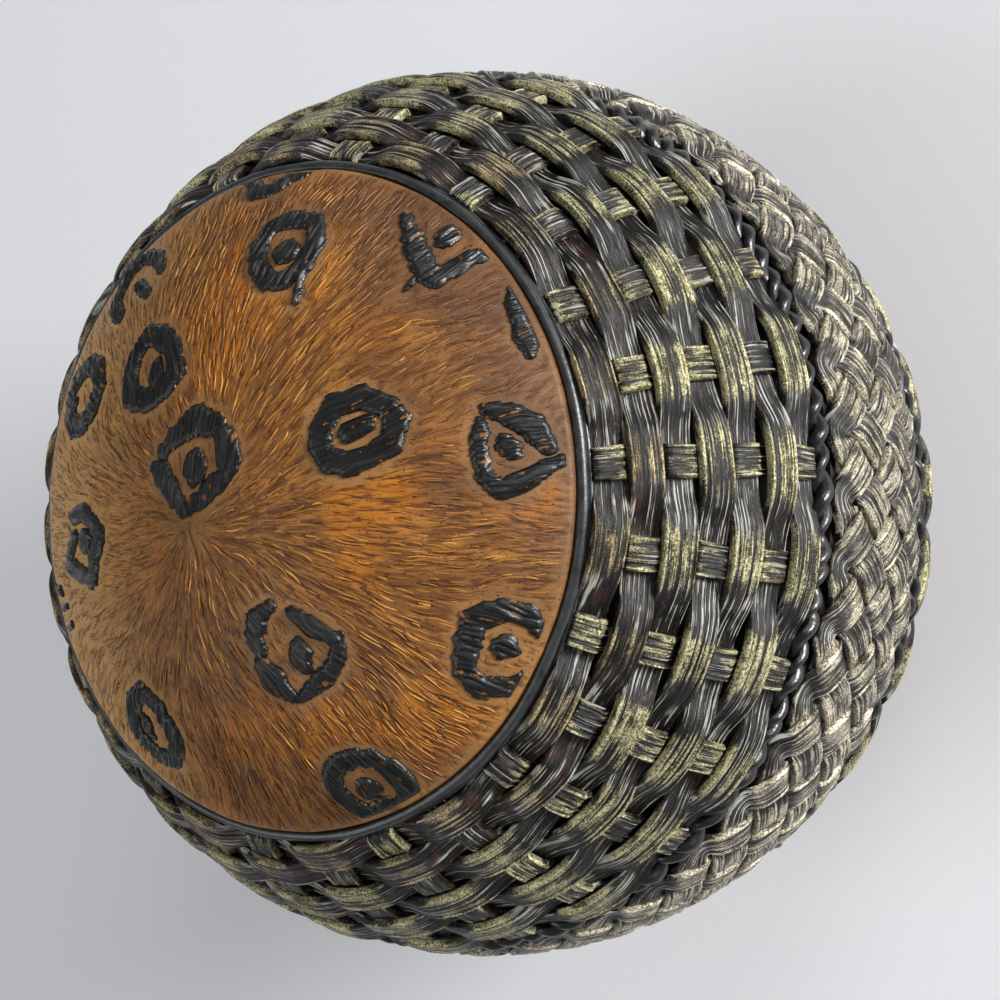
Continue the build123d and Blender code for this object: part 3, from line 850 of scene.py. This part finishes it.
# -------- hide
def hair_lines(side_name, seed, spacing_across, spacing_along, shortest, longest):
    """Wandering lines that lead away from the whorl, as an array of (hair, point, x and y)."""
    rng = draws_for(side_name, seed)
    whorl = np.array(WHORL[side_name])
    starts = []
    for k in range(int(2 * REACH / spacing_along) + 3):
        distance = 0.9 + spacing_along * k
        count = max(9, int(2 * np.pi * distance / spacing_across))
        angle = 2 * np.pi * (np.arange(count) + rng.uniform(-0.45, 0.45, count)) / count
        reach = distance + rng.uniform(-0.5, 0.5, count) * spacing_along
        starts.append(whorl + np.stack([reach * np.cos(angle), reach * np.sin(angle)], -1))
    here = np.concatenate(starts)
    here = here[np.hypot(here[:, 0], here[:, 1]) < HIDE_EDGE_MM - 1.0]
    length = rng.uniform(shortest, longest, len(here))
    bend = rng.uniform(-0.12, 0.12, len(here))
    slant = rng.normal(0, 0.07, len(here))
    broad, close = Cloud(31, 9.0), Cloud(32, 3.5)
    line = [here]
    for step in range(HAIR_STEPS):
        x, y = here.T
        angle = np.arctan2(y - whorl[1], x - whorl[0]) + slant + bend * (step - 2)
        angle = angle + 0.36 * broad(x, y) + 0.22 * close(x, y)
        here = here + (length / HAIR_STEPS)[:, None] * np.stack([np.cos(angle), np.sin(angle)], -1)
        line.append(here)
    return np.stack(line, 1), rng


def sample(field, x, y):
    """Values of a raster at places x, y."""
    fx = np.clip((x + REACH) / PIXEL, 0, field.shape[0] - 2)
    fy = np.clip((y + REACH) / PIXEL, 0, field.shape[1] - 2)
    i, j = np.floor(fx).astype(int), np.floor(fy).astype(int)
    s, t = fx - i, fy - j
    low = field[i, j] * (1 - s) + field[i + 1, j] * s
    high = field[i, j + 1] * (1 - s) + field[i + 1, j + 1] * s
    return low * (1 - t) + high * t


def draw_cuts(side_name, axis, x, y, gap):
    """The cuts between hairs as a raster from 0 to 1."""
    lines, rng = hair_lines(side_name, 6, 0.50, 2.6, 1.6, 4.6)
    cut = np.zeros_like(x)
    for line in lines:
        width, strength = rng.uniform(0.09, 0.15), rng.uniform(0.5, 1.0)
        low = np.clip(((line.min(0) - 0.5 + REACH) / PIXEL).astype(int), 0, len(axis) - 2)
        high = np.clip(((line.max(0) + 0.5 + REACH) / PIXEL).astype(int) + 1, 1, len(axis))
        window = (slice(low[0], high[0]), slice(low[1], high[1]))
        wx, wy = x[window], y[window]
        if not wx.size:
            continue
        best, place = np.full(wx.shape, 9.0), np.zeros(wx.shape)
        for s, (a, b) in enumerate(zip(line, line[1:])):
            along = b - a
            t = np.clip(((wx - a[0]) * along[0] + (wy - a[1]) * along[1]) / (along @ along), 0, 1)
            d = np.hypot(wx - a[0] - t * along[0], wy - a[1] - t * along[1])
            nearer = d < best
            best = np.where(nearer, d, best)
            place = np.where(nearer, (s + t) / HAIR_STEPS, place)
        taper = np.sqrt(np.clip(4 * place * (1 - place), 0.02, 1))
        drawn = strength * np.exp(-((best / (width * (0.4 + 0.6 * taper))) ** 2)) * smoothstep(0, 0.3, taper)
        cut[window] = np.maximum(cut[window], drawn)
    return cut * smoothstep(0.2, 0.8, gap) * smoothstep(0.1, 1.2, HIDE_EDGE_MM - np.hypot(x, y))


def on_hide(x, y, height):
    """Points over the hide at places x, y."""
    polar, azimuth = np.hypot(x, y) / MM_PER_DEGREE, np.degrees(np.arctan2(y, x)) - 90
    return directions(polar, azimuth)[0] * (HIDE_RADIUS - 0.05 + np.asarray(height))[..., None]


def hide_height(x, y, gap):
    """Gentle swells of the hide, and the dip round each spot."""
    edge_gap = HIDE_EDGE_MM - np.hypot(x, y)
    dip, rounding = smoothstep(1.1, 0.1, gap), smoothstep(0.55, 0, edge_gap) ** 2
    return 0.05 * Cloud(41, 3.0)(x, y) - 0.06 * dip - 0.45 * rounding


def painted_shade_layer(x, y):
    """Painted shade: how much the paint is darkened, growing towards one side of the hide."""
    across = (0.85 * x + 0.5 * y) / HIDE_EDGE_MM
    return smoothstep(0.35, 0.95, across + 0.25 * Cloud(53, 5.0)(x, y))


def hairs_piece(side_name, gap):
    """The raised hairs: tapered ridges let into the hide."""
    lines, rng = hair_lines(side_name, 7, 0.42, 2.2, 1.0, 3.2)
    whorl = WHORL[side_name]
    gaps = sample(gap, lines[..., 0], lines[..., 1])
    rim = HIDE_EDGE_MM - np.hypot(lines[..., 0], lines[..., 1])
    from_whorl = np.hypot(lines[..., 0] - whorl[0], lines[..., 1] - whorl[1])
    clear = (gaps.min(1) > 0.22) & (rim.min(1) > 0.7)
    lines, from_whorl, gaps = lines[clear], from_whorl[clear], gaps[clear]
    count = len(lines)
    along = np.gradient(lines, axis=1)
    along /= np.linalg.norm(along, axis=2)[..., None]
    beside = np.stack([-along[..., 1], along[..., 0]], -1)
    place = np.arange(HAIR_STEPS + 1) / HAIR_STEPS
    taper = np.sqrt(np.clip(4 * place * (1 - place), 0.03, 1))[None]
    width = rng.uniform(0.07, 0.15, count)[:, None] * taper
    low = 0.45 + 0.55 * smoothstep(0.3, 1.2, gaps.mean(1)) * smoothstep(0.5, 5.0, from_whorl.mean(1))
    rise = (rng.uniform(0.03, 0.09, count) * low)[:, None] * taper
    rings = []
    for across, lift, sink in ((-1, 0, 0.04), (0, 1, 0), (1, 0, 0.04), (0, 0, 0.12)):
        spot = lines + beside * (across * width)[..., None]
        x, y = spot[..., 0], spot[..., 1]
        height = hide_height(x, y, sample(gap, x, y)) + lift * rise - sink
        rings.append(on_hide(x, y, height))
    points = np.stack(rings, 2)
    ring_count = HAIR_STEPS + 1
    tube_faces = grid_quads(ring_count, 4, closed_columns=True)
    ends = np.array([[3, 2, 1, 0], [0, 1, 2, 3]]) + np.array([[0], [4 * HAIR_STEPS]])
    faces = np.concatenate([tube_faces, ends])
    faces = (faces[None] + (np.arange(count) * ring_count * 4)[:, None, None]).reshape(-1, 4)
    tone = np.broadcast_to(rng.uniform(0, 1, count)[:, None, None] * low[:, None, None], points.shape[:3])
    painted_shade = np.repeat(painted_shade_layer(lines[..., 0], lines[..., 1])[..., None], 4, 2)
    name = f"hide_{side_name}"
    layers = {"tone": tone.copy(), "painted_shade": painted_shade}
    add_piece(name, "_hairs", points, [faces], MATERIALS["hairs"], layers, side_name)


def hide_piece(side_name, spots):
    """The ground of one hide, with its lip and underside, and its hairs."""
    axis, x, y, gap = raster(side_name, spots)
    cut = draw_cuts(side_name, axis, x, y, gap)
    count = HIDE_CELLS + 1
    line = np.linspace(-1, 1, count)
    a, b = np.meshgrid(line, line, indexing="ij")
    wide = np.abs(a) > np.abs(b)
    safe_a, safe_b = np.where(a == 0, 1, a), np.where(b == 0, 1, b)
    radius = np.where(wide, a, b)
    angle = np.where(wide, np.pi / 4 * b / safe_a, np.pi / 2 - np.pi / 4 * a / safe_b)
    px, py = HIDE_EDGE_MM * radius * np.cos(angle), HIDE_EDGE_MM * radius * np.sin(angle)
    cut_here, gap_here = sample(cut, px, py), sample(gap, px, py)
    whorl = WHORL[side_name]
    from_whorl = np.hypot(px - whorl[0], py - whorl[1])
    from_rim = HIDE_EDGE_MM - np.hypot(px, py)
    top = on_hide(px, py, hide_height(px, py, gap_here) - 0.16 * cut_here)
    azimuth = np.degrees(np.arctan2(py, px)) - 90
    by_whorl, by_rim = 0.8 * smoothstep(5.5, 1.0, from_whorl), 0.9 * smoothstep(2.2, 0.6, from_rim)
    smooth = np.maximum.reduce([smoothstep(1.5, 0.3, gap_here), by_whorl, by_rim])
    warm = smoothstep(-0.1, 0.7, Cloud(51, 8.0)(px, py) + 0.25 * Cloud(52, 2.0)(px, py)) * (1 - 0.6 * smooth)
    painted_shade = painted_shade_layer(px, py)
    numbers = np.arange(count**2).reshape(count, count)
    quads = grid_quads(count, count)[:, ::-1]
    around = np.concatenate([numbers[:-1, 0], numbers[-1, :-1], numbers[:0:-1, -1], numbers[0, :0:-1]])
    rim_azimuth = azimuth.ravel()[around]
    points, faces = [top.reshape(-1, 3)], [quads]
    layers = {"cut": cut_here, "smooth": smooth, "warm": warm, "painted_shade": painted_shade}
    layers = {key: [value.ravel()] for key, value in layers.items()}
    count, previous = count**2, around
    profile = [(HIDE_EDGE + 0.25, 48.5), (HIDE_EDGE + 0.3, LIP_RADIUS), (HIDE_EDGE + 0.3, HIDE_UNDERSIDE)]
    profile += [(HIDE_EDGE * (1 - k / 7), HIDE_UNDERSIDE) for k in range(1, 7)]
    for polar_here, radius_here in profile:
        points.append(directions(polar_here, rim_azimuth)[0] * radius_here)
        current = count + np.arange(len(around))
        faces.append(np.stack([previous, current, np.roll(current, -1), np.roll(previous, -1)], -1))
        for key, value in layers.items():
            value.append(np.full(len(around), 1.0 if key == "smooth" else 0.0))
        count += len(around)
        previous = current
    points.append(np.array([[0, 0, HIDE_UNDERSIDE]]))
    for value in layers.values():
        value.append(np.zeros(1))
    fan = np.stack([previous, np.full(len(around), count), np.roll(previous, -1)], -1)
    faces = [np.concatenate(faces), fan]
    layers = {key: np.concatenate(value) for key, value in layers.items()}
    name, points = f"hide_{side_name}", np.concatenate(points)
    add_piece(name, "_ground", points, faces, MATERIALS[name], layers, side_name)
    hairs_piece(side_name, gap)


# -------- making everything
MATERIALS = {
    "weaver": splint_material("weaver_splint_paint", (32, 24, 20), 1.85),
    "weaver_near_hide": splint_material(
        "weaver_splint_paint_by_hide", (54, 32, 20), 1.97, (84, 68, 42), (204, 186, 138)
    ),
    "stake": splint_material("stake_splint_paint", (36, 26, 20), 1.86),
    "plait": splint_material("plait_splint_paint", (60, 48, 40), 1.93, (96, 84, 64), (226, 218, 190)),
    "hide_front": hide_material("front"),
    "hide_back": hide_material("back"),
    "hairs": hair_material(),
    "spots_front": spot_material("front"),
    "spots_back": spot_material("back"),
    "rim": cord_material("edging_cord_paint", (17, 18, 18), (40, 43, 43), 0.32),
    "rope": cord_material("black_cord_paint", (6, 6, 6), (12, 12, 12), 0.27),
    "core": core_material(),
}

for node in ("core_front_half", "core_back_half"):
    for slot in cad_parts[node].material_slots:
        slot.material = MATERIALS["core"]

for side_name in SIDES:
    for row in range(1, WEAVER_COUNT + 1):
        weaver(row, side_name)
    for first in range(2):
        stakes(first, side_name)
    for ply in range(2):
        rope_ply(ply, side_name)
    rim_cord(side_name)
    spots = SPOTS if side_name == "front" else back_spots()
    spots_piece(side_name, spots)
    hide_piece(side_name, spots)
for strand in range(STRAND_COUNT):
    plait_strand(strand)


# -------- camera, floor and light
CAMERA_DIRECTION = Vector((-0.0459, -0.5485, 0.8349))  # from the ball's centre
CAMERA_RIGHT = Vector((0.0, -0.8359, -0.549))
CAMERA_DISTANCE = 0.25
FLOOR_HALF_WIDTH = 3.0


def add_camera():
    """A camera that looks at the ball's centre, slightly shifted."""
    data = bpy.data.cameras.new("camera")
    data.lens = 78.66
    data.sensor_width = 36
    data.shift_x, data.shift_y = 0.012, 0.013
    data.clip_start = 0.01
    back = CAMERA_DIRECTION.normalized()
    right = (CAMERA_RIGHT - back * CAMERA_RIGHT.dot(back)).normalized()
    turn = Matrix((right, back.cross(right), back)).transposed().to_4x4()
    camera = bpy.data.objects.new("camera", data)
    camera.matrix_world = Matrix.Translation(back * CAMERA_DISTANCE) @ turn
    bpy.context.scene.collection.objects.link(camera)
    bpy.context.scene.camera = camera


def add_light(name, direction, distance, size, power):
    """A round softbox that faces the ball."""
    data = bpy.data.lights.new(name, "AREA")
    data.shape = "DISK"
    data.size = size
    data.energy = power
    light = bpy.data.objects.new(name, data)
    towards = Vector(direction).normalized()
    light.location = towards * distance
    light.rotation_euler = towards.to_track_quat("Z", "Y").to_euler()
    bpy.context.scene.collection.objects.link(light)


def add_floor():
    s = Shader("floor_paper")
    grain = s.noise(0.8, 3.0)
    s.finish(
        Base_Color=s.mix(grain, colour(226, 226, 229), colour(230, 230, 233)),
        Roughness=s.between(grain, 0.55, 0.65),
        Specular_IOR_Level=0.2,
        Normal=s.bump(grain, 0.01),
    )
    half, level = FLOOR_HALF_WIDTH, cad_box[0].z
    mesh = bpy.data.meshes.new("floor")
    corners = [(-half, -half, level), (half, -half, level), (half, half, level), (-half, half, level)]
    mesh.from_pydata(corners, [], [(0, 1, 2, 3)])
    mesh.materials.append(s.material)
    floor = bpy.data.objects.new("floor", mesh)
    bpy.context.scene.collection.objects.link(floor)


add_camera()
add_floor()
add_light("key", (0.66, -0.45, 0.60), 1.8, 0.7, 5.0)
add_light("side", (0.30, -0.93, 0.22), 0.7, 0.26, 8.0)
add_light("top", (-0.38, 0.50, 0.78), 1.6, 1.2, 8.5)
world = bpy.data.worlds.new("studio")
world.use_nodes = True
glow = world.node_tree.nodes["Background"].inputs
glow["Color"].default_value = (0.95, 0.97, 1.0, 1.0)
glow["Strength"].default_value = 0.29
bpy.context.scene.world = world
bpy.context.scene.view_settings.view_transform = "Standard"
